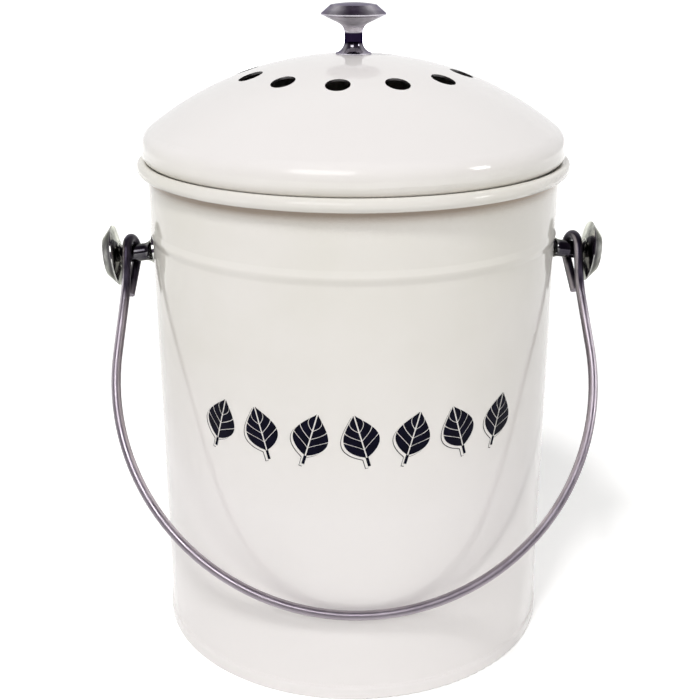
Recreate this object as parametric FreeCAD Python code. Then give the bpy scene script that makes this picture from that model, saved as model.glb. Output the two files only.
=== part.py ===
import FreeCAD, Part
import math
import os

os.makedirs("parts", exist_ok=True)

# A lidded pail of enamelled sheet steel for kitchen scraps, with a wire bail and a filter in
# the lid. Lengths are millimetres and angles degrees. The pail stands on z = 0 with its axis
# on Z, and its front is towards -Y.

# Sheet steel, and the play between formed sheets
sheet = 0.8
seam_gap = 0.05
overrun = 5.0
shortest_edge = 0.0001

# Pail wall, from its rolled rim down to its folded foot
wall_radius = 87.5
collar_step = 0.5
ridge_drop = 28.1
ridge_rise = 0.25
ridge_flat = 0.8
ridge_slope = 2.6
ridge_bend = 4.0
bead_radius = 2.75
bead_height = 213.5
bead_lip_gap = 0.3
hem_swell = 0.7
hem_swell_length = 1.5
hem_bend = 2.0
fold_bend = 0.45
fold_leg = 3.0

# Pail base, a disc with a flange that the folded foot holds
base_recess = 3.8
base_bend = 1.0
base_headroom = 0.4

# Ear knobs
ear_ridge_gap = 1.3
ear_droop = 6.5
ear_foot_radius = 7.3
ear_foot_edge = 0.4
ear_foot_length = 4.2
ear_neck_radius = 3.8
ear_neck_length = 8.4
ear_throat_radius = 6.3
ear_throat_length = 2.2
ear_head_radius = 13.2
ear_head_length = 1.8
ear_rim = 0.5
ear_face_radius = 8.6
ear_face_length = 4.1
ear_crown = 1.0

# Screws that hold the knobs from inside, and what lies under their heads
screw_radius = 1.95
screw_clearance = 0.1
screw_grip = 11.5
screw_end_gap = 0.6
screw_head_radius = 3.9
screw_head_height = 2.6
screw_head_edge = 0.9
screw_slot_width = 1.0
screw_slot_length = 4.4
screw_slot_depth = 1.5
washer_radius = 5.0
washer_thickness = 0.9
seal_radius = 5.5
seal_thickness = 1.0
wall_hole_clearance = 0.2

# Bail: one wire with an eye round the neck of each ear knob. What stands off does so from the wall
wire_radius = 2.0
bail_arch_standoff = 15.6
bail_leg_lean = 5.3
bail_length = 158.2
bail_rest_gap = 0.3
eye_standoff = 10.0
eye_play = 0.6
eye_tilt = 14.0
eye_sway_length = 22.5
tail_standoff = 11.4
tail_depth = 4.7
tail_length = 17.8

# Lid: a domed sheet with a rolled edge that sits on the rim
lid_setback = 2.3
lid_seat_gap = 0.3
lid_edge_bend = 4.8
lid_edge_straight = 1.7
lid_shoulder_bend = 9.0
lid_rise = 36.6
vent_count = 12
vent_radius = 5.0
vent_ring_radius = 45.4
vent_turn = -9.9

# Lid knob
knob_foot_radius = 7.5
knob_foot_edge = 0.3
knob_foot_length = 4.7
knob_neck_radius = 3.8
knob_neck_length = 3.2
knob_throat_radius = 6.2
knob_throat_length = 4.0
knob_head_radius = 13.6
knob_head_length = 3.6
knob_rim = 0.5
knob_face_radius = 9.6
knob_face_length = 3.4
knob_crown = 0.9
knob_screw_grip = 10.0

# Ring under the lid, with the clips that the filter's retainer turns into
ring_flange_width = 6.0
ring_bend = 1.0
ring_edge = 0.5
clip_count = 3
clip_turn = -90.0
clip_reach = 4.0
clip_width = 10.0
filter_gap = 0.3
filter_side_gap = 0.4
filter_thickness = 9.0
filter_round = 1.2

# Retainer: a plastic ring with spokes and a grip
retainer_side_gap = 0.5
retainer_thickness = 3.4
retainer_ring_width = 9.0
retainer_turn = 30.0
notch_clearance = 0.4
notch_width = 13.0
nib_width = 2.5
nib_play = 1.5
nib_drop = 1.0
nib_length = 2.4
spoke_count = 6
spoke_width = 4.0
hub_radius = 13.0
grip_length = 40.0
grip_width = 4.0
grip_height = 8.0
grip_round = 1.0

ORIGIN = FreeCAD.Vector(0, 0, 0)
X_AXIS = FreeCAD.Vector(1, 0, 0)
Y_AXIS = FreeCAD.Vector(0, 1, 0)
Z_AXIS = FreeCAD.Vector(0, 0, 1)

# Radii and heights that several pieces share
wall_inside = wall_radius - sheet
collar_outside = wall_radius + collar_step
collar_inside = collar_outside - sheet
bead_middle = collar_inside + bead_radius
ridge_height = bead_height - ridge_drop
ridge_bottom = ridge_height - ridge_flat / 2 - ridge_slope
ear_foot_drop = eye_standoff * math.tan(math.radians(ear_droop))
ear_height = ridge_bottom - ear_ridge_gap - ear_foot_radius - ear_foot_drop
eye_middle = wall_radius + eye_standoff
tail_middle = wall_radius + tail_standoff
bail_arch_radius = wall_radius + bail_arch_standoff
hem_outside = wall_radius + hem_swell
hem_height = base_recess + sheet + base_headroom
flange_outside = hem_outside - sheet - seam_gap
screw_hole_radius = screw_radius + screw_clearance
lid_radius = bead_middle + bead_radius - lid_setback
lid_edge_middle = lid_radius - lid_edge_bend
lid_edge_reach = lid_edge_bend + bead_radius + lid_seat_gap
lid_edge_height = bead_height + math.sqrt(lid_edge_reach ** 2 - (bead_middle - lid_edge_middle) ** 2)
lid_wide_height = lid_edge_height + lid_edge_straight
crown_height = lid_wide_height + lid_rise
crown_bend = ((lid_rise ** 2 + lid_radius ** 2 - 2 * lid_shoulder_bend * lid_radius)
              / (2 * (lid_rise - lid_shoulder_bend)))
crown_middle = crown_height - crown_bend
skirt_outside = lid_edge_middle
skirt_inside = skirt_outside - sheet
ring_flange_height = lid_edge_height - lid_edge_bend + sheet + ring_bend
filter_top = ring_flange_height - filter_gap
retainer_top = filter_top - filter_thickness - filter_gap
retainer_bottom = retainer_top - retainer_thickness
clip_top = retainer_bottom - filter_gap
clip_bottom = clip_top - sheet
clip_inside = skirt_inside - clip_reach
retainer_radius = skirt_inside - retainer_side_gap


def at(radius, height):
    """A point of a section, in the XZ plane."""
    return FreeCAD.Vector(radius, 0, height)


def line(start, end):
    return Part.LineSegment(start, end).toShape()


def arc(start, middle, end):
    return Part.Arc(start, middle, end).toShape()


def turn(shape, axis, angle, middle=ORIGIN):
    """A copy of the shape, turned about an axis."""
    turned = shape.copy()
    turned.rotate(middle, axis, angle)
    return turned


def move(shape, offset):
    """A copy of the shape, moved."""
    moved = shape.copy()
    moved.translate(offset)
    return moved


def opposite(shape):
    """The same piece on the other side of the pail, half a turn round."""
    return turn(shape, Z_AXIS, 180)


def around(shape, count, first=0):
    """Copies of the shape, evenly round the Z axis."""
    return [turn(shape, Z_AXIS, first + 360 * i / count) for i in range(count)]


def disc(radius, low, high):
    return Part.makeCylinder(radius, high - low, at(0, low))


def washer(outside, inside, low, high):
    return disc(outside, low, high).cut(disc(inside, low - overrun, high + overrun))


def sector(inside, outside, low, high, middle, width):
    """A block between two radii, two heights and two angles."""
    wedge = Part.makeCylinder(outside, high - low, at(0, low), Z_AXIS, width)
    wedge = wedge.cut(disc(inside, low - overrun, high + overrun))
    return turn(wedge, Z_AXIS, middle - width / 2)


def bar(length, width, low, high):
    """A block across the Z axis, its length along X."""
    corner = FreeCAD.Vector(-length / 2, -width / 2, low)
    return Part.makeBox(length, width, high - low, corner)


def bent_edges(points, bends, offset=0):
    """Lines joined by tangent arcs. In the XZ plane the path can be offset to one side."""
    edges = []
    heading = (points[1] - points[0]).normalize()
    start = points[0] + Y_AXIS.cross(heading) * offset
    for corner, after, bend in zip(points[1:], points[2:], bends):
        ahead = (after - corner).normalize()
        half_turn = heading.getAngle(ahead) / 2
        reach = bend * math.tan(half_turn)
        inward = (ahead - heading).normalize()
        middle = corner + inward * (bend / math.cos(half_turn))
        outset = offset if Y_AXIS.cross(heading).dot(inward) < 0 else -offset
        first = corner - heading * reach + Y_AXIS.cross(heading) * offset
        last = corner + ahead * reach + Y_AXIS.cross(ahead) * offset
        if (first - start).Length > shortest_edge:
            edges.append(line(start, first))
        edges.append(arc(first, middle - inward * (bend + outset), last))
        start = last
        heading = ahead
    finish = points[-1] + Y_AXIS.cross(heading) * offset
    if (finish - start).Length > shortest_edge:
        edges.append(line(start, finish))
    return edges


def snug_bend(before, corner, after, reach):
    """The bend whose arc starts and ends at a given distance from its corner."""
    half_turn = (corner - before).getAngle(after - corner) / 2
    return reach / math.tan(half_turn)


def spun(edges):
    """A solid of revolution about Z from the edges of its section."""
    outline = Part.Wire(Part.__sortEdges__(edges))
    return Part.Face(outline).revolve(ORIGIN, Z_AXIS, 360)


def spun_sheet(points, bends):
    """Formed sheet: one thickness along a bent path, turned about Z."""
    left = bent_edges(points, bends, sheet / 2)
    right = bent_edges(points, bends, -sheet / 2)
    caps = [line(left[0].firstVertex().Point, right[0].firstVertex().Point),
            line(left[-1].lastVertex().Point, right[-1].lastVertex().Point)]
    return spun(left + right + caps)


def flare(neck_radius, neck_height, rim_radius, rim_height):
    """An arc that leaves the neck along its side and runs out to the rim."""
    out = rim_radius - neck_radius
    along = rim_height - neck_height
    bend = (out ** 2 + along ** 2) / (2 * out)
    half = math.atan2(abs(along), bend - out) / 2
    sign = math.copysign(1, along)
    middle = at(neck_radius + bend * (1 - math.cos(half)), neck_height + sign * bend * math.sin(half))
    return arc(at(neck_radius, neck_height), middle, at(rim_radius, rim_height))


def dome(rim_radius, rim_height, crown):
    """A shallow convex arc from a rim up to the axis."""
    bend = (rim_radius ** 2 + crown ** 2) / (2 * crown)
    half = math.asin(rim_radius / bend) / 2
    middle = at(bend * math.sin(half), rim_height + crown - bend * (1 - math.cos(half)))
    return arc(at(rim_radius, rim_height), middle, at(0, rim_height + crown))


def knob(foot_radius, foot_edge, foot_length, neck_radius, neck_length, throat_radius,
         throat_length, head_radius, head_length, rim, face_radius, face_length, crown):
    """A turned knob along Z, its foot at z = 0 and carried on below for cutting to its seat."""
    neck_low = foot_edge + foot_length
    neck_high = neck_low + neck_length
    throat = neck_high + throat_length
    head = throat + head_length
    face = head + rim + face_length
    edges = [
        line(at(0, -overrun), at(foot_radius, -overrun)),
        line(at(foot_radius, -overrun), at(foot_radius, foot_edge)),
        flare(neck_radius, neck_low, foot_radius, foot_edge),
        line(at(neck_radius, neck_low), at(neck_radius, neck_high)),
        flare(neck_radius, neck_high, throat_radius, throat),
        line(at(throat_radius, throat), at(head_radius, head)),
        line(at(head_radius, head), at(head_radius, head + rim)),
        line(at(head_radius, head + rim), at(face_radius, face)),
        dome(face_radius, face, crown),
        line(at(0, face + crown), at(0, -overrun)),
    ]
    return spun(edges)


def pan_screw(grip):
    """A pan head screw along Z: shank up from z = 0, head below it with a cross recess."""
    side = at(screw_head_radius, -screw_head_edge)
    edges = [
        line(at(0, 0), at(screw_head_radius, 0)),
        line(at(screw_head_radius, 0), side),
        dome(screw_head_radius, screw_head_edge, screw_head_height - screw_head_edge).mirror(ORIGIN, Z_AXIS),
        line(at(0, -screw_head_height), at(0, 0)),
    ]
    head = spun(edges)
    slot = bar(screw_slot_length, screw_slot_width, -screw_head_height - overrun,
               screw_slot_depth - screw_head_height)
    head = head.cut([slot, turn(slot, Z_AXIS, 90)])
    return head.fuse(disc(screw_radius, 0, grip)).removeSplitter()


def out_from_wall(shape, distance):
    """Turns a piece made along Z so that it points out of the right side, with the ear's droop."""
    level = move(turn(shape, Y_AXIS, 90), FreeCAD.Vector(distance, 0, ear_height))
    return turn(level, Y_AXIS, ear_droop, FreeCAD.Vector(eye_middle, 0, ear_height))


def pail_wall():
    collar = collar_outside - sheet / 2
    wall = wall_radius - sheet / 2
    hem = hem_outside - sheet / 2
    leg = flange_outside - sheet - seam_gap - sheet / 2
    curl = bead_radius - sheet / 2
    points = [
        at(collar_outside + bead_lip_gap, bead_height - curl),
        at(collar + 2 * curl, bead_height - curl),
        at(collar + 2 * curl, bead_height + curl),
        at(collar, bead_height + curl),
        at(collar, ridge_height + ridge_flat / 2 + ridge_slope),
        at(collar + ridge_rise, ridge_height + ridge_flat / 2),
        at(collar + ridge_rise, ridge_height - ridge_flat / 2),
        at(wall, ridge_bottom),
        at(wall, hem_height + hem_swell_length),
        at(hem, hem_height),
        at(hem, sheet / 2),
        at(leg, sheet / 2),
        at(leg, fold_leg),
    ]
    bends = [curl] * 3 + [ridge_bend] * 4 + [hem_bend] * 2 + [fold_bend] * 2
    shell = spun_sheet(points, bends)
    hole = out_from_wall(disc(screw_radius + wall_hole_clearance, -overrun, overrun), wall_radius)
    return shell.cut([hole, opposite(hole)])


def pail_base():
    height = base_recess + sheet / 2
    edge = flange_outside - sheet / 2
    points = [at(0, height), at(edge, height), at(edge, sheet + seam_gap)]
    return spun_sheet(points, [base_bend])


def ear_knob():
    body = knob(ear_foot_radius, ear_foot_edge, ear_foot_length, ear_neck_radius, ear_neck_length,
                ear_throat_radius, ear_throat_length, ear_head_radius, ear_head_length, ear_rim,
                ear_face_radius, ear_face_length, ear_crown)
    body = out_from_wall(body, wall_radius)
    seat = disc(wall_radius, ear_height - ear_foot_radius - overrun, ear_height + ear_foot_radius + overrun)
    bore = disc(screw_hole_radius, -overrun, screw_grip + screw_end_gap)
    return body.cut([seat, out_from_wall(bore, washer_outer_face() + washer_thickness)])


def washer_outer_face():
    """How far from the pail's axis the ear screws' heads start."""
    return math.sqrt(wall_inside ** 2 - seal_radius ** 2) - seal_thickness - washer_thickness


def ear_seal():
    face = washer_outer_face() + washer_thickness
    blank = out_from_wall(washer(seal_radius, screw_hole_radius, 0, wall_inside - face + overrun), face)
    inside = disc(wall_inside - seam_gap, ear_height - seal_radius - overrun,
                  ear_height + seal_radius + overrun)
    return blank.common(inside)


def ear_washer():
    return out_from_wall(washer(washer_radius, screw_hole_radius, 0, washer_thickness), washer_outer_face())


def ear_screw():
    return out_from_wall(pan_screw(washer_thickness + screw_grip), washer_outer_face())


def bail_handle():
    """The wire lies in the plane y = 0 below the ears first, and is then leaned on the front."""
    round_neck = ear_neck_radius + wire_radius + eye_play
    eye_radius = round_neck / math.cos(math.radians(eye_tilt))
    across = FreeCAD.Vector(math.sin(math.radians(eye_tilt)), -math.cos(math.radians(eye_tilt)), 0)
    middle = FreeCAD.Vector(eye_middle, 0, 0)
    top = Z_AXIS * eye_radius
    front = middle + across * eye_radius
    tail_end = FreeCAD.Vector(tail_middle, tail_depth, -tail_length)
    tail_reach = (middle - tail_end).dot(across)
    tail_lean = (math.asin(eye_radius / math.hypot(tail_reach, tail_length))
                 - math.atan2(tail_reach, tail_length))
    rear = middle - across * (eye_radius * math.tan((math.pi / 2 + tail_lean) / 2)) + top
    leg_lean = math.radians(bail_leg_lean)
    leg_way = FreeCAD.Vector(math.sin(leg_lean), 0, -math.cos(leg_lean))
    arch_middle = Z_AXIS * (bail_arch_radius - bail_length)
    leg_end = arch_middle + FreeCAD.Vector(math.cos(leg_lean), 0, math.sin(leg_lean)) * bail_arch_radius
    leg_run = -(leg_end.z + eye_sway_length) / math.cos(leg_lean)
    stem = leg_end - leg_way * leg_run
    sway_reach = eye_sway_length / 4
    upper = front - Z_AXIS * sway_reach
    lower = stem - leg_way * sway_reach
    side = [tail_end, rear, front + top, upper, lower, leg_end]
    bends = [eye_radius, eye_radius, snug_bend(front, upper, lower, sway_reach),
             snug_bend(upper, lower, leg_end, sway_reach)]
    right = bent_edges(side, bends)
    left = [edge.mirror(ORIGIN, X_AXIS) for edge in right]
    arch = arc(leg_end, Z_AXIS * -bail_length, FreeCAD.Vector(-leg_end.x, 0, leg_end.z))
    path = Part.Wire(Part.__sortEdges__(right + [arch] + left))
    section = Part.Wire(Part.makeCircle(wire_radius, tail_end, rear - tail_end))
    wire = path.makePipeShell([section], True, False)
    rest_reach = wall_radius + wire_radius + bail_rest_gap
    wire = turn(wire, X_AXIS, -math.degrees(math.asin(rest_reach / bail_length)))
    return move(wire, Z_AXIS * ear_height)


def lid_dome():
    """A crown, a tighter shoulder, a short straight edge and the roll that sits on the rim."""
    shoulder_middle = lid_radius - lid_shoulder_bend
    join = math.asin(shoulder_middle / (crown_bend - lid_shoulder_bend))
    edges = []
    corners = []
    for depth in (0, sheet):
        crown = crown_bend - depth
        shoulder = lid_shoulder_bend - depth
        edge = lid_edge_bend - depth
        half = (join + math.pi / 2) / 2
        top = at(0, crown_middle + crown)
        crown_way = at(crown * math.sin(join / 2), crown_middle + crown * math.cos(join / 2))
        meet = at(crown * math.sin(join), crown_middle + crown * math.cos(join))
        shoulder_way = at(shoulder_middle + shoulder * math.sin(half),
                          lid_wide_height + shoulder * math.cos(half))
        wide = at(lid_radius - depth, lid_wide_height)
        edge_start = at(lid_radius - depth, lid_edge_height)
        edge_way = at(lid_edge_middle + edge * math.sqrt(1 / 2), lid_edge_height - edge * math.sqrt(1 / 2))
        edge_end = at(lid_edge_middle, lid_edge_height - edge)
        edges += [arc(top, crown_way, meet), arc(meet, shoulder_way, wide), line(wide, edge_start),
                  arc(edge_start, edge_way, edge_end)]
        corners.append((top, edge_end))
    edges += [line(corners[0][0], corners[1][0]), line(corners[0][1], corners[1][1])]
    shell = spun(edges)
    vent = move(disc(vent_radius, lid_wide_height, crown_height + overrun), Y_AXIS * -vent_ring_radius)
    hole = disc(screw_hole_radius, lid_wide_height, crown_height + overrun)
    return shell.cut(around(vent, vent_count, vent_turn) + [hole])


def dome_inside(radius):
    """Height of the underside of the crown at a radius."""
    return crown_middle + math.sqrt((crown_bend - sheet) ** 2 - radius ** 2)


def lid_knob():
    body = knob(knob_foot_radius, knob_foot_edge, knob_foot_length, knob_neck_radius, knob_neck_length,
                knob_throat_radius, knob_throat_length, knob_head_radius, knob_head_length, knob_rim,
                knob_face_radius, knob_face_length, knob_crown)
    body = move(body, Z_AXIS * crown_height)
    seat = Part.makeSphere(crown_bend, at(0, crown_middle))
    bore_top = dome_inside(washer_radius) + knob_screw_grip + screw_end_gap
    return body.cut([seat, disc(screw_hole_radius, crown_middle, bore_top)])


def lid_knob_washer():
    top = dome_inside(washer_radius)
    return washer(washer_radius, screw_hole_radius, top - washer_thickness, top)


def lid_knob_screw():
    head = dome_inside(washer_radius) - washer_thickness
    return move(pan_screw(washer_thickness + knob_screw_grip), Z_AXIS * head)


def lid_locating_ring():
    height = ring_flange_height + sheet / 2
    skirt = skirt_outside - sheet / 2
    points = [at(skirt - ring_flange_width, height), at(skirt, height), at(skirt, clip_bottom - ring_edge)]
    return spun_sheet(points, [ring_bend])


def bayonet_clips():
    clip = sector(clip_inside, skirt_inside, clip_bottom, clip_top, clip_turn, clip_width)
    return Part.makeCompound(around(clip, clip_count))


def filter_pad():
    pad = disc(skirt_inside - filter_side_gap, filter_top - filter_thickness, filter_top)
    rims = [edge for edge in pad.Edges if len(edge.Vertexes) == 1]
    return pad.makeFillet(filter_round, rims)


def filter_retainer():
    ring_inside = retainer_radius - retainer_ring_width
    ring = washer(retainer_radius, ring_inside, retainer_bottom, retainer_top)
    notch = sector(clip_inside - notch_clearance, retainer_radius + overrun, retainer_bottom - overrun,
                   retainer_top + overrun, clip_turn - retainer_turn, notch_width)
    nib_outside = retainer_radius - notch_clearance
    near = clip_width / 2 + nib_play / 2 + nib_width / 2
    far = retainer_turn + near
    nibs = [sector(nib_outside - nib_length, nib_outside, retainer_bottom - nib_drop, retainer_bottom,
                   clip_turn + middle, nib_width) for middle in (near, -far)]
    spoke_reach = ring_inside + retainer_ring_width / 2
    spoke = bar(spoke_reach, spoke_width, retainer_bottom, retainer_top)
    spoke = move(spoke, X_AXIS * (spoke_reach / 2))
    hub = disc(hub_radius, retainer_bottom, retainer_top)
    grip = bar(grip_length, grip_width, retainer_bottom - grip_height, retainer_bottom)
    ends = [edge for edge in grip.Edges if edge.BoundBox.ZMax < retainer_bottom]
    grip = grip.makeFillet(grip_round, ends)
    stops = [piece for nib in nibs for piece in around(nib, clip_count)]
    body = ring.fuse(around(spoke, spoke_count) + [hub, grip] + stops).removeSplitter()
    return body.cut(around(notch, clip_count))


def save(name, shape):
    """Writes one piece, or one group of like pieces, under its name."""
    shape.exportStep("parts/" + name + ".step")
    print(name, len(shape.Solids), "solids", shape.isValid(), "volume", round(shape.Volume, 1))


right_knob = ear_knob()
right_seal = ear_seal()
right_washer = ear_washer()
right_screw = ear_screw()

save("pail_wall", pail_wall())
save("pail_base", pail_base())
save("ear_knob_right", right_knob)
save("ear_knob_left", opposite(right_knob))
save("ear_seal_right", right_seal)
save("ear_seal_left", opposite(right_seal))
save("ear_washers", Part.makeCompound([right_washer, opposite(right_washer)]))
save("ear_screws", Part.makeCompound([right_screw, opposite(right_screw)]))
save("bail_handle", bail_handle())
save("lid_dome", lid_dome())
save("lid_knob", lid_knob())
save("lid_knob_washer", lid_knob_washer())
save("lid_knob_screw", lid_knob_screw())
save("lid_locating_ring", lid_locating_ring())
save("bayonet_clips", bayonet_clips())
save("filter_pad", filter_pad())
save("filter_retainer", filter_retainer())
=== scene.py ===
import bpy
import math
from mathutils import Matrix, Vector, noise


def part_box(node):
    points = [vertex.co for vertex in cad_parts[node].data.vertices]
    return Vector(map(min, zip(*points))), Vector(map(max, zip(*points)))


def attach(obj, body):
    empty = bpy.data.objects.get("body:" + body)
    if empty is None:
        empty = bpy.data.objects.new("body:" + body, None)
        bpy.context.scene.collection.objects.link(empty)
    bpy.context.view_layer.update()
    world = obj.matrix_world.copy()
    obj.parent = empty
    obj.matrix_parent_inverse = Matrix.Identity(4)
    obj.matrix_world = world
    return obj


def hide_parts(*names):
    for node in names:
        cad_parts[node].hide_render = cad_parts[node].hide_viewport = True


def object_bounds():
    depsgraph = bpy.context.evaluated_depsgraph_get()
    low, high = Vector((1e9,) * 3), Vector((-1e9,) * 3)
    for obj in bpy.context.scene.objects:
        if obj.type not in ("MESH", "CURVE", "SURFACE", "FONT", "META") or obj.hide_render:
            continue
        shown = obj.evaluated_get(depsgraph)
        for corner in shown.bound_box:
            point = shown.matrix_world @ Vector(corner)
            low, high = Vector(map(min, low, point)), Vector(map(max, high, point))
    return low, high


# The looks of a lidded enamel pail for kitchen scraps. Lengths are metres and angles degrees.

# Camera
camera_place = (-0.01933, -0.50326, 0.30771)
camera_tilt = 70.15
camera_turn = -2.03
camera_lens = 60.1
camera_sensor = 36.0
camera_near = 0.01
camera_far = 40.0

# Floor and world of the studio
floor_radius = 14.0
floor_corners = 96
floor_colour = (0.93, 0.925, 0.915, 1)
floor_glow = (0.34, 1.0)
floor_glow_reach = (0.45, 1.6)
world_colour = (1.0, 1.0, 1.0, 1)
world_fill = 0.25
dim_colour = (0.100, 0.078, 0.118, 1)
dim_way = (-0.05, -0.80, 0.60)
dim_reach = (0.0, 0.50)

# Lamps of the studio
light_aim = (0, 0, 0.16)
# Name, azimuth from the front, elevation, distance, width, height, watts, and whether gloss shows it
soft_boxes = [
    ("key", -20.0, 37.0, 3.4, 1.75, 1.25, 29.0, True),
    ("top", -28.0, 60.0, 3.6, 0.50, 0.50, 57.0, False),
    ("side", 68.0, 22.0, 3.0, 0.50, 0.60, 12.0, True),
    ("back", 165.0, 14.0, 3.6, 1.60, 0.80, 42.0, False),
]

# Noise: the middle of its range, its detail, and how much finer the dull spots are than the stains
noise_low = 0.35
noise_high = 0.65
cloud_detail = 3.0
wave_detail = 1.0
metal_grain_detail = 2.0
soft_grain_detail = 4.0
dull_fineness = 2

# Sockets of a Mix node that blends colours
mix_factor = 0
mix_first = 6
mix_second = 7
mix_result = 2

# Enamel, with painted shade that makes the upper wall and the lower edge of the lid darker and warmer
enamel_cream = (0.895, 0.860, 0.850, 1)
enamel_painted_shade = (0.768, 0.742, 0.678, 1)
# Each pair is a height, as a share of the whole object's, and the share of painted shade there
enamel_painted_shade_shares = [(0, 0.10), (0.30, 0.12), (0.54, 0.85), (0.75, 1), (0.785, 0.90), (0.815, 0.15),
                      (1, 0.10)]
# Painted shade: a brown darkening in the creases, such as under the rim's bead, where ambient occlusion
# finds them
enamel_painted_crease_shade = (0.40, 0.325, 0.260, 1)
enamel_painted_crease_shade_reach = 0.012
enamel_painted_crease_shade_open_shares = (0.84, 0.915)
enamel_cloud_size = 0.055
enamel_cloud_share = 0.35
enamel_dull_fineness = 3
enamel_roughness = (0.07, 0.12)
enamel_gloss = 0.42
enamel_wave_size = 0.045
enamel_wave_depth = 0.00025
enamel_peel_size = 0.0016
enamel_peel_depth = 0.0000022

# Darker edges of the vents, which lie on a ring in the lid
vent_plane = (1, 1, 0)
vent_ring_radius = 0.0454
vent_radius = 0.0050
vent_margin = 0.0006
vent_edge_dark = (0.040, 0.036, 0.038, 1)
# An edge is darkened where it faces up or down less than the first of these, and not from the second
vent_edge_facings = (0.4, 0.6)

# Dark chrome of the knobs, with bands of painted reflection: bright on the face and rim, and painted shade
# in the neck
ear_droop = 6.5
chrome_dark = (0.010, 0.006, 0.018, 1)
lid_knob_bright = (0.61, 0.580, 0.625, 1)
ear_knob_bright = (0.66, 0.665, 0.63, 1)
lid_knob_edge_tint = (0.38, 0.36, 0.44, 1)
ear_knob_edge_tint = (0.72, 0.73, 0.67, 1)
lid_knob_stain_share = 0.35
ear_knob_stain_share = 0.65
# Each pair is a depth below the face, as a share of the knob's length, and the share of bright painted
# reflection there
lid_knob_painted_reflection_shares = [(0, 0.80), (0.12, 0.80), (0.16, 0.55), (0.205, 0.50), (0.222, 1), (0.44, 1),
                          (0.55, 1), (0.59, 0), (0.78, 0), (0.83, 0.40), (0.92, 0.50), (0.98, 0.95)]
ear_knob_painted_reflection_shares = [(0, 0.55), (0.09, 0.64), (0.13, 0.38), (0.17, 0.10), (0.205, 0.12), (0.235, 1),
                          (0.265, 0.85), (0.36, 0.66), (0.43, 0.12), (0.60, 0.15), (0.78, 0.12),
                          (0.88, 0.50), (0.97, 0.95)]
chrome_stain_size = 0.005
chrome_roughness = (0.08, 0.17)
chrome_wave_size = 0.0028
chrome_wave_depth = 0.00003
chrome_scratch_size = 0.0007
chrome_scratch_depth = 0.000002

# Satin finish under the head of the lid knob, between two depths that are shares of its length
satin_start_shares = (0.23, 0.27)
satin_end_shares = (0.44, 0.54)
satin_share = 0.65
satin_roughness = 0.45

# Drawn steel wire of the bail, with a painted highlight along its upper front and painted shade where it
# faces other ways
wire_bright = (0.74, 0.675, 0.73, 1)
wire_dark = (0.075, 0.060, 0.080, 1)
# Each pair is how far the resting bail's surface faces down, 0 straight up and 1 down, and its share of
# painted highlight
wire_painted_highlight_shares = [(0, 0.55), (0.06, 0.50), (0.12, 0.90), (0.18, 1), (0.26, 0.80), (0.36, 0.25),
                   (0.50, 0.30), (0.64, 0.45)]
wire_stain_size = 0.012
wire_stain_share = 0.20
wire_roughness = (0.30, 0.42)
wire_grain_size = 0.0006
wire_grain_depth = 0.000003

# Eyes of the wire, darker, with a painted highlight streak on the side that faces one way
wire_eye_heights = (0.162, 0.146)
wire_eye_colour = (0.050, 0.042, 0.062, 1)
wire_eye_painted_highlight = (0.62, 0.58, 0.62, 1)
wire_eye_painted_highlight_way = (-0.70, -0.64, 0.32)
wire_eye_painted_highlight_facings = (0.87, 0.975)

# Plain metal: zinc plated screws and washers, and spring steel clips
zinc_colour = (0.62, 0.61, 0.57, 1)
zinc_stain = (0.48, 0.46, 0.40, 1)
clip_colour = (0.56, 0.56, 0.55, 1)
clip_stain = (0.42, 0.42, 0.42, 1)
plain_metal_stain_size = 0.0025
plain_metal_roughness = (0.28, 0.46)
plain_metal_grain_size = 0.0004
plain_metal_grain_depth = 0.000008

# Rubber seals
rubber_colour = (0.022, 0.022, 0.023, 1)
rubber_dust = (0.060, 0.058, 0.054, 1)
rubber_dust_size = 0.003
rubber_roughness = (0.55, 0.75)
rubber_grain_size = 0.0005
rubber_grain_depth = 0.00002

# Moulded plastic of the retainer
plastic_colour = (0.77, 0.755, 0.70, 1)
plastic_shade = (0.70, 0.68, 0.62, 1)
plastic_flow_size = 0.03
plastic_roughness = (0.34, 0.50)
plastic_grain_size = 0.0007
plastic_grain_depth = 0.000015

# Charcoal fleece of the filter
fleece_colour = (0.009, 0.009, 0.012, 1)
fleece_dust = (0.030, 0.030, 0.035, 1)
fleece_clump_size = 0.007
fleece_roughness = (0.85, 1.0)
fleece_fibre_size = 0.0006
fleece_fibre_depth = 0.00035
fleece_sheen = 0.25

# Fired print
ink_colour = (0.0012, 0.0010, 0.0065, 1)
ink_thin = (0.0030, 0.0026, 0.0125, 1)
ink_cloud_size = 0.004
ink_roughness = (0.10, 0.22)
ink_grain_size = 0.0009
ink_grain_depth = 0.000006
ink_gloss = 0.05

# Row of leaves printed on the front, and the radius of the wall there
wall_radius = 0.0875
leaf_count = 7
leaf_pitch = 13.3
leaf_low = 0.1085
leaf_lean = 16.0
leaf_print_lift = 0.00008
# Azimuth and lean of each leaf
leaf_places = [((i - (leaf_count - 1) / 2) * leaf_pitch, leaf_lean if i % 2 else -leaf_lean)
               for i in range(leaf_count)]

# One leaf: its stalk, and the blade with its rib and veins left bare
leaf_height = 0.0225
leaf_half_width = 0.0072
leaf_belly_power = 0.78
leaf_stalk_share = 0.17
leaf_stalk_half_width = 0.0006
leaf_stalk_rows = (0, 0.5, 1)
leaf_stalk_length = leaf_height * leaf_stalk_share
leaf_blade_length = leaf_height - leaf_stalk_length
leaf_rib_half_width = 0.00028
leaf_vein_gap = 0.00042
leaf_vein_count = 4
leaf_vein_rise = 0.26
leaf_rows = 10
leaf_columns = 7

# Shadow line beside each leaf
leaf_outline_steps = 30
leaf_line_offset = 0.0012
leaf_line_width = 0.00034
leaf_line_way = (-0.75, -0.66)

# Filter pad, inside the lid
pad_side_gap = 0.0006
pad_rings = 26
pad_sectors = 120
pad_edge_round = 0.0022
pad_edge_steps = 5
pad_lump_size = 0.016
pad_lump_depth = 0.0009
pad_fluff_size = 0.0035
pad_fluff_depth = 0.00035
pad_seed = (3.1, 7.7, 1.9)

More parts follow.
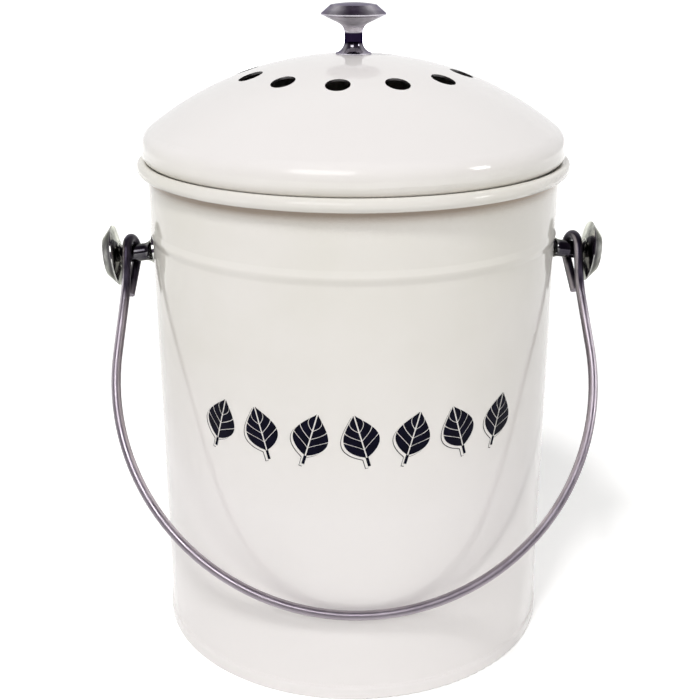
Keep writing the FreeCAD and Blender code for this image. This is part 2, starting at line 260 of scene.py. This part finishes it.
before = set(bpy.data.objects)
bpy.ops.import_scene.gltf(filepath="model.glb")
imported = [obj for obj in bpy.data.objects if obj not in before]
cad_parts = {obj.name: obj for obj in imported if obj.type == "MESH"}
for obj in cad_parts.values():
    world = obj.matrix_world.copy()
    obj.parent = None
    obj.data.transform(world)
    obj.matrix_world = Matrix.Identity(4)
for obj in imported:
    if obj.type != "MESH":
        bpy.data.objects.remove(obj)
cad_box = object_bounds()


# Shader nodes

def add_node(tree, kind, inputs=None, **settings):
    """Adds one shader node. An input is a plain value, or the output that feeds it."""
    made = tree.nodes.new("ShaderNode" + kind)
    for name, value in settings.items():
        setattr(made, name, value)
    for name, value in (inputs or {}).items():
        if isinstance(value, bpy.types.NodeSocket):
            tree.links.new(value, made.inputs[name])
        else:
            made.inputs[name].default_value = value
    return made


def maths(tree, operation, first, second=0):
    return add_node(tree, "Math", {0: first, 1: second}, operation=operation).outputs[0]


def reach_along(tree, vector, way):
    return add_node(tree, "VectorMath", {0: vector, 1: way}, operation="DOT_PRODUCT").outputs["Value"]


def vector_length(tree, vector):
    return add_node(tree, "VectorMath", {0: vector}, operation="LENGTH").outputs["Value"]


def upward_part(tree, vector):
    return add_node(tree, "SeparateXYZ", {"Vector": vector}).outputs["Z"]


def object_place(tree):
    return add_node(tree, "TexCoord").outputs["Object"]


def surface_normal(tree):
    return add_node(tree, "TexCoord").outputs["Normal"]


def speckle(tree, size, detail=cloud_detail):
    """Noise whose spots are about as large as the size."""
    inputs = {"Vector": object_place(tree), "Scale": 1 / size, "Detail": detail}
    return add_node(tree, "TexNoise", inputs).outputs["Fac"]


def spread(tree, value, low, high, start=noise_low, end=noise_high):
    """Maps a value from start to end onto low to high."""
    inputs = {"Value": value, "From Min": start, "From Max": end, "To Min": low, "To Max": high}
    return add_node(tree, "MapRange", inputs).outputs["Result"]


def blend_colours(tree, factor, first, second):
    """The first colour where the factor is 0, and the second where it is 1."""
    inputs = {mix_factor: factor, mix_first: first, mix_second: second}
    return add_node(tree, "Mix", inputs, data_type="RGBA").outputs[mix_result]


def relief(tree, height, depth, below=None):
    """A bump of the given depth, on top of another where there is one."""
    inputs = {"Height": height, "Distance": depth, "Strength": 1.0}
    if below is not None:
        inputs["Normal"] = below
    return add_node(tree, "Bump", inputs).outputs["Normal"]


def mottled_share(tree, place, shares, spot_size, spot_share):
    """The share at a place from 0 to 1, read from pairs of place and share, and less in the spots."""
    ramp = add_node(tree, "ValToRGB", {"Fac": place})
    stops = ramp.color_ramp.elements
    while len(stops) < len(shares):
        stops.new(1)
    for stop, (position, share) in zip(stops, shares):
        stop.position = position
        stop.color = (share, share, share, 1)
    spots = spread(tree, speckle(tree, spot_size), 1 - spot_share, 1.0)
    return maths(tree, "MULTIPLY", ramp.outputs["Color"], spots)


# Materials

def new_material(name, plain=None):
    """A material with one Principled shader and its values that are the same all over."""
    material = bpy.data.materials.new(name)
    material.use_nodes = True
    tree = material.node_tree
    shader = tree.nodes["Principled BSDF"]
    for socket, value in (plain or {}).items():
        shader.inputs[socket].default_value = value
    return material, tree, shader


def feed(tree, shader, colour, roughness, normal):
    tree.links.new(colour, shader.inputs["Base Color"])
    tree.links.new(roughness, shader.inputs["Roughness"])
    tree.links.new(normal, shader.inputs["Normal"])


def darkened_vent_edges(tree, colour):
    """Darkens the punched edges of the vents."""
    flat = add_node(tree, "VectorMath", {0: object_place(tree), 1: vent_plane}, operation="MULTIPLY")
    off_ring = maths(tree, "SUBTRACT", vector_length(tree, flat.outputs["Vector"]), vent_ring_radius)
    near = spread(tree, maths(tree, "ABSOLUTE", off_ring), 1.0, 0.0, vent_radius, vent_radius + vent_margin)
    facing = maths(tree, "ABSOLUTE", upward_part(tree, surface_normal(tree)))
    upright = spread(tree, facing, 1.0, 0.0, *vent_edge_facings)
    return blend_colours(tree, maths(tree, "MULTIPLY", near, upright), colour, vent_edge_dark)


def enamel():
    material, tree, shader = new_material("enamel", {"Specular IOR Level": enamel_gloss})
    height = upward_part(tree, object_place(tree))
    place = spread(tree, height, 0.0, 1.0, cad_box[0].z, cad_box[1].z)
    # Painted shade by height: the upper wall and the lid's lower edge darker and warmer, mottled by cloud
    # noise
    painted_shade = mottled_share(tree, place, enamel_painted_shade_shares, enamel_cloud_size, enamel_cloud_share)
    colour = blend_colours(tree, painted_shade, enamel_cream, enamel_painted_shade)
    # Painted shade in the creases, read from ambient occlusion
    occlusion = add_node(tree, "AmbientOcclusion", {"Distance": enamel_painted_crease_shade_reach}, only_local=True)
    painted_crease_shade = spread(tree, occlusion.outputs["AO"], 1.0, 0.0, *enamel_painted_crease_shade_open_shares)
    colour = darkened_vent_edges(tree, blend_colours(tree, painted_crease_shade, colour, enamel_painted_crease_shade))
    dull = spread(tree, speckle(tree, enamel_cloud_size / enamel_dull_fineness), *enamel_roughness)
    waves = relief(tree, speckle(tree, enamel_wave_size, wave_detail), enamel_wave_depth)
    peel = relief(tree, speckle(tree, enamel_peel_size, wave_detail), enamel_peel_depth, waves)
    feed(tree, shader, colour, dull, peel)
    return material


def satin_under_head(tree, shader, depth, dull):
    """Makes the metal satin under the knob's head, and gives the whole knob's roughness."""
    starting = spread(tree, depth, 0.0, satin_share, *satin_start_shares)
    ending = spread(tree, depth, 1.0, 0.0, *satin_end_shares)
    satin = maths(tree, "MULTIPLY", starting, ending)
    tree.links.new(spread(tree, satin, 1.0, 0.0, start=0, end=1), shader.inputs["Metallic"])
    return maths(tree, "MAXIMUM", dull, maths(tree, "MULTIPLY", satin, satin_roughness))


def knob_chrome(name, axis, painted_reflection_shares, bright, edge_tint, stain_share, has_satin):
    """Chrome for one knob, with bands of painted reflection and shade that follow the depth below its face.
    """
    material, tree, shader = new_material(name + "_chrome", {"Metallic": 1.0, "Specular Tint": edge_tint})
    heights = [corner.co.dot(axis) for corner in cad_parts[name].data.vertices]
    height = reach_along(tree, object_place(tree), axis)
    depth = spread(tree, height, 1.0, 0.0, min(heights), max(heights))
    # Painted reflection and shade: bright and dark bands by depth, less bright in the stains
    painted_reflection = mottled_share(tree, depth, painted_reflection_shares, chrome_stain_size, stain_share)
    colour = blend_colours(tree, painted_reflection, chrome_dark, bright)
    dull = spread(tree, speckle(tree, chrome_stain_size / dull_fineness), *chrome_roughness)
    if has_satin:
        dull = satin_under_head(tree, shader, depth, dull)
    waves = relief(tree, speckle(tree, chrome_wave_size, wave_detail), chrome_wave_depth)
    scratches = speckle(tree, chrome_scratch_size, metal_grain_detail)
    feed(tree, shader, colour, dull, relief(tree, scratches, chrome_scratch_depth, waves))
    return material


def drawn_wire():
    """Plated steel wire, darkest round the eyes, with painted highlights and shade that follow the way its
    surface faces.
    """
    material, tree, shader = new_material("drawn_wire", {"Metallic": 1.0})
    normal = surface_normal(tree)
    downward = spread(tree, upward_part(tree, normal), 1.0, 0.0, start=-1, end=1)
    # Painted highlight and shade: lighter or darker by how far the surface faces down
    painted_highlight = mottled_share(tree, downward, wire_painted_highlight_shares, wire_stain_size, wire_stain_share)
    leg_colour = blend_colours(tree, painted_highlight, wire_dark, wire_bright)
    # Painted highlight: a light streak on the eyes where the surface faces one way
    towards = reach_along(tree, normal, wire_eye_painted_highlight_way)
    painted_eye_highlight = spread(tree, towards, 0.0, 1.0, *wire_eye_painted_highlight_facings)
    eye_colour = blend_colours(tree, painted_eye_highlight, wire_eye_colour, wire_eye_painted_highlight)
    below_eye = spread(tree, upward_part(tree, object_place(tree)), 0.0, 1.0, *wire_eye_heights)
    colour = blend_colours(tree, below_eye, eye_colour, leg_colour)
    dull = spread(tree, speckle(tree, wire_stain_size / dull_fineness), *wire_roughness)
    grain = relief(tree, speckle(tree, wire_grain_size, metal_grain_detail), wire_grain_depth)
    feed(tree, shader, colour, dull, grain)
    return material


def plain_metal(name, *colours):
    """Metal with stains in its colour and a fine grain."""
    material, tree, shader = new_material(name, {"Metallic": 1.0})
    stains = spread(tree, speckle(tree, plain_metal_stain_size), 0.0, 1.0)
    colour = blend_colours(tree, stains, *colours)
    dull = spread(tree, speckle(tree, plain_metal_stain_size / dull_fineness), *plain_metal_roughness)
    grain = relief(tree, speckle(tree, plain_metal_grain_size, metal_grain_detail), plain_metal_grain_depth)
    feed(tree, shader, colour, dull, grain)
    return material


def soft_surface(name, colours, spot_size, roughness, grain_size, grain_depth, plain=None):
    """Rubber, plastic, fleece or print: a mottled colour and a fine relief."""
    material, tree, shader = new_material(name, plain)
    colour = blend_colours(tree, spread(tree, speckle(tree, spot_size), 0.0, 1.0), *colours)
    dull = spread(tree, speckle(tree, spot_size / dull_fineness), *roughness)
    grain = relief(tree, speckle(tree, grain_size, soft_grain_detail), grain_depth)
    feed(tree, shader, colour, dull, grain)
    return material


def dress(material, *nodes):
    """Gives CAD nodes their material."""
    for name in nodes:
        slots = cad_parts[name].data.materials
        slots.clear()
        slots.append(material)


# Pieces

def new_piece(name, points, faces, material, body):
    mesh = bpy.data.meshes.new(name)
    mesh.from_pydata(points, [], faces)
    mesh.materials.append(material)
    mesh.update()
    mesh.shade_smooth()
    piece = bpy.data.objects.new(name, mesh)
    bpy.context.scene.collection.objects.link(piece)
    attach(piece, body)
    return piece


def grid_faces(rows, columns, first=0, closed=False):
    """Four-sided faces between the points of a grid, that are numbered row by row."""
    faces = []
    for row in range(rows - 1):
        for column in range(columns if closed else columns - 1):
            here = first + row * columns + column
            after = first + row * columns + (column + 1) % columns
            faces.append((here, after, after + columns, here + columns))
    return faces


def leaf_width(share):
    """Half the width of a leaf's blade at a share of the blade's length."""
    return leaf_half_width * math.sin(math.pi * share ** leaf_belly_power)


def blade_point(side, across, share):
    """A flat point on one side of the blade, across from the rib to the edge and up by a share."""
    share = min(max(share, 0), 1)
    reach = max(leaf_width(share) - leaf_rib_half_width, 0)
    return (side * (leaf_rib_half_width + across * reach), leaf_stalk_length + share * leaf_blade_length)


def leaf_patches():
    """The flat grids of one leaf: its stalk, and on each side the fields between its veins."""
    stalk = [[(side * leaf_stalk_half_width, leaf_stalk_length * row) for side in (-1, 1)]
             for row in leaf_stalk_rows]
    patches = [stalk]
    gap = leaf_vein_gap / leaf_height / 2
    cuts = [-leaf_vein_rise] + [i / (leaf_vein_count + 1) for i in range(1, leaf_vein_count)] + [1]
    reaches = [j / (leaf_columns - 1) for j in range(leaf_columns)]
    for side in (-1, 1):
        for low, high in zip(cuts, cuts[1:]):
            rows = [low + gap + (high - low - 2 * gap) * i / (leaf_rows - 1) for i in range(leaf_rows)]
            patches.append([[blade_point(side, reach, row + leaf_vein_rise * reach) for reach in reaches]
                            for row in rows])
    return patches


def leaf_outline():
    """The closed outline of one leaf, anticlockwise from the right of its stalk's foot."""
    right = [(leaf_stalk_half_width, 0)]
    for i in range(leaf_outline_steps + 1):
        share = i / leaf_outline_steps
        half_width = max(leaf_width(share), leaf_stalk_half_width * (1 - share))
        right.append((half_width, leaf_stalk_length + share * leaf_blade_length))
    return right + [(-x, y) for x, y in reversed(right)]


def turned_leaf(points, lean):
    """The points of a leaf, leant about its middle."""
    turn = Matrix.Rotation(math.radians(lean), 2)
    middle = Vector((0, leaf_height / 2))
    return [turn @ (Vector(p) - middle) + middle for p in points]


def on_wall(point, azimuth):
    """Wraps a flat point round the pail at an azimuth, which is 0 at the front."""
    radius = wall_radius + leaf_print_lift
    angle = math.radians(azimuth) + point[0] / wall_radius
    return (radius * math.sin(angle), -radius * math.cos(angle), leaf_low + point[1])


def leaf_print(ink):
    points, faces = [], []
    for azimuth, lean in leaf_places:
        for patch in leaf_patches():
            flat = turned_leaf([p for row in patch for p in row], lean)
            faces += grid_faces(len(patch), len(patch[0]), len(points))
            points += [on_wall(p, azimuth) for p in flat]
    return new_piece("leaf_print", points, faces, ink, "pail")


def leaf_shadow_line(ink):
    """A narrow line that follows the lower left of each leaf's outline at a small distance."""
    way = Vector(leaf_line_way)
    reaches = (leaf_line_offset, leaf_line_offset + leaf_line_width)
    points, faces = [], []
    for azimuth, lean in leaf_places:
        outline = turned_leaf(leaf_outline(), lean)
        for here, after in zip(outline, outline[1:] + outline[:1]):
            along = after - here
            if along.length and Vector((along.y, -along.x)).dot(way) > 0:
                faces.append(tuple(len(points) + i for i in (0, 1, 3, 2)))
                points += [on_wall(p + way * reach, azimuth) for reach in reaches for p in (here, after)]
    return new_piece("leaf_print_line", points, faces, ink, "pail")


def pad_profile(radius, half):
    """Pairs of radius and share of half the pad's height, from its top over its side to its bottom."""
    flat = radius - pad_edge_round
    profile = [(min(radius * i / pad_rings, flat), 1) for i in range(1, pad_rings)]
    for i in range(pad_edge_steps + 1):
        bend = math.radians(90 * i / pad_edge_steps)
        profile.append((radius - pad_edge_round * (1 - math.sin(bend)),
                        1 - pad_edge_round / half * (1 - math.cos(bend))))
    return profile + [(reach, -share) for reach, share in reversed(profile)]


def sunk_by_noise(spot, size, depth):
    return (noise.noise(spot / size + Vector(pad_seed)) + 1) / 2 * depth


def filter_fleece(material):
    """The die-cut pad of carbon fleece: a round pad with a soft edge and uneven faces."""
    low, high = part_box("filter_pad")
    middle = (high.z + low.z) / 2
    half = (high.z - low.z) / 2
    profile = pad_profile(high.x - pad_side_gap, half)
    points = []
    for reach, share in profile:
        for i in range(pad_sectors):
            angle = 2 * math.pi * i / pad_sectors
            spot = Vector((reach * math.cos(angle), reach * math.sin(angle), middle + share * half))
            sunk = sunk_by_noise(spot, pad_lump_size, pad_lump_depth)
            sunk += sunk_by_noise(spot, pad_fluff_size, pad_fluff_depth)
            spot.z -= math.copysign(sunk, share) * abs(share)
            points.append(spot)
    faces = grid_faces(len(profile), pad_sectors, closed=True)
    top = len(points)
    bottom = top + 1
    points += [Vector((0, 0, high.z - pad_lump_depth)), Vector((0, 0, low.z + pad_lump_depth))]
    last = (len(profile) - 1) * pad_sectors
    for i in range(pad_sectors):
        after = (i + 1) % pad_sectors
        faces += [(top, after, i), (bottom, last + i, last + after)]
    pad = new_piece("filter_fleece", points, faces, material, "lid")
    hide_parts("filter_pad")
    return pad


# Studio

def seen_strength(tree, plain, seen):
    """The strength for most rays, and another for the rays that show a background."""
    path = add_node(tree, "LightPath")
    shown = path.outputs["Is Camera Ray"]
    for name in ("Is Glossy Ray", "Is Transmission Ray"):
        shown = maths(tree, "MAXIMUM", shown, path.outputs[name])
    return spread(tree, shown, plain, seen, start=0, end=1)


def in_gloss_only(tree, share):
    """The share for the rays of gloss, and the whole for all others."""
    glossy = add_node(tree, "LightPath").outputs["Is Glossy Ray"]
    return spread(tree, glossy, 1.0, share, start=0, end=1)


def studio_floor():
    corners = [2 * math.pi * i / floor_corners for i in range(floor_corners)]
    mesh = bpy.data.meshes.new("studio_floor")
    mesh.from_pydata([(floor_radius * math.cos(a), floor_radius * math.sin(a), 0) for a in corners], [],
                     [tuple(range(floor_corners))])
    plain = {"Base Color": floor_colour, "Roughness": 1.0, "Specular IOR Level": 0.0,
             "Emission Color": world_colour}
    material, tree, shader = new_material("studio_floor", plain)
    glow = spread(tree, vector_length(tree, object_place(tree)), *floor_glow, *floor_glow_reach)
    strength = maths(tree, "MULTIPLY", seen_strength(tree, 0.0, 1.0), glow)
    tree.links.new(strength, shader.inputs["Emission Strength"])
    mesh.materials.append(material)
    floor = bpy.data.objects.new("studio_floor", mesh)
    bpy.context.scene.collection.objects.link(floor)


def studio_world():
    """White all round. Gloss sees the front of the studio, from where the object is looked at, as dim."""
    world = bpy.data.worlds.new("studio")
    world.use_nodes = True
    tree = world.node_tree
    background = tree.nodes["Background"]
    frontal = reach_along(tree, add_node(tree, "TexCoord").outputs["Generated"], dim_way)
    white_share = in_gloss_only(tree, spread(tree, frontal, 1.0, 0.0, *dim_reach))
    tree.links.new(blend_colours(tree, white_share, dim_colour, world_colour), background.inputs["Color"])
    tree.links.new(seen_strength(tree, world_fill, 1.0), background.inputs["Strength"])
    bpy.context.scene.world = world


def soft_box(name, azimuth, elevation, distance, width, height, watts, in_gloss):
    lamp = bpy.data.lights.new(name, "AREA")
    lamp.shape = "RECTANGLE"
    lamp.size = width
    lamp.size_y = height
    lamp.energy = watts
    turn = math.radians(azimuth)
    rise = math.radians(elevation)
    way = Vector((math.sin(turn) * math.cos(rise), -math.cos(turn) * math.cos(rise), math.sin(rise)))
    box = bpy.data.objects.new(name, lamp)
    box.location = Vector(light_aim) + way * distance
    box.rotation_euler = way.to_track_quat("Z", "Y").to_euler()
    box.visible_glossy = in_gloss
    bpy.context.scene.collection.objects.link(box)


def camera():
    lens = bpy.data.cameras.new("camera")
    lens.lens = camera_lens
    lens.sensor_width = camera_sensor
    lens.clip_start = camera_near
    lens.clip_end = camera_far
    eye = bpy.data.objects.new("camera", lens)
    eye.location = camera_place
    eye.rotation_euler = (math.radians(camera_tilt), 0, math.radians(camera_turn))
    bpy.context.scene.collection.objects.link(eye)
    bpy.context.scene.camera = eye


# Scene

bpy.context.scene.view_settings.view_transform = "Standard"
camera()
studio_floor()
studio_world()
for box in soft_boxes:
    soft_box(*box)

dress(enamel(), "pail_wall", "pail_base", "lid_dome", "lid_locating_ring")
dress(drawn_wire(), "bail_handle")
droop = math.radians(ear_droop)
lid_knob_look = (lid_knob_painted_reflection_shares, lid_knob_bright, lid_knob_edge_tint, lid_knob_stain_share, True)
ear_knob_look = (ear_knob_painted_reflection_shares, ear_knob_bright, ear_knob_edge_tint, ear_knob_stain_share, False)
knobs = [("lid_knob", Vector((0, 0, 1)), *lid_knob_look),
         ("ear_knob_right", Vector((math.cos(droop), 0, -math.sin(droop))), *ear_knob_look),
         ("ear_knob_left", Vector((-math.cos(droop), 0, -math.sin(droop))), *ear_knob_look)]
for knob in knobs:
    dress(knob_chrome(*knob), knob[0])

zinc = plain_metal("zinc_plate", zinc_colour, zinc_stain)
dress(zinc, "ear_washers", "ear_screws", "lid_knob_washer", "lid_knob_screw")
dress(plain_metal("spring_steel", clip_colour, clip_stain), "bayonet_clips")
rubber = soft_surface("seal_rubber", (rubber_colour, rubber_dust), rubber_dust_size, rubber_roughness,
                      rubber_grain_size, rubber_grain_depth)
dress(rubber, "ear_seal_right", "ear_seal_left")
plastic = soft_surface("moulded_plastic", (plastic_colour, plastic_shade), plastic_flow_size,
                       plastic_roughness, plastic_grain_size, plastic_grain_depth)
dress(plastic, "filter_retainer")

fleece = soft_surface("carbon_fleece", (fleece_colour, fleece_dust), fleece_clump_size, fleece_roughness,
                      fleece_fibre_size, fleece_fibre_depth, {"Sheen Weight": fleece_sheen})
dress(fleece, "filter_pad")
filter_fleece(fleece)
ink = soft_surface("fired_ink", (ink_colour, ink_thin), ink_cloud_size, ink_roughness,
                   ink_grain_size, ink_grain_depth, {"Specular IOR Level": ink_gloss})
leaf_print(ink)
leaf_shadow_line(ink)
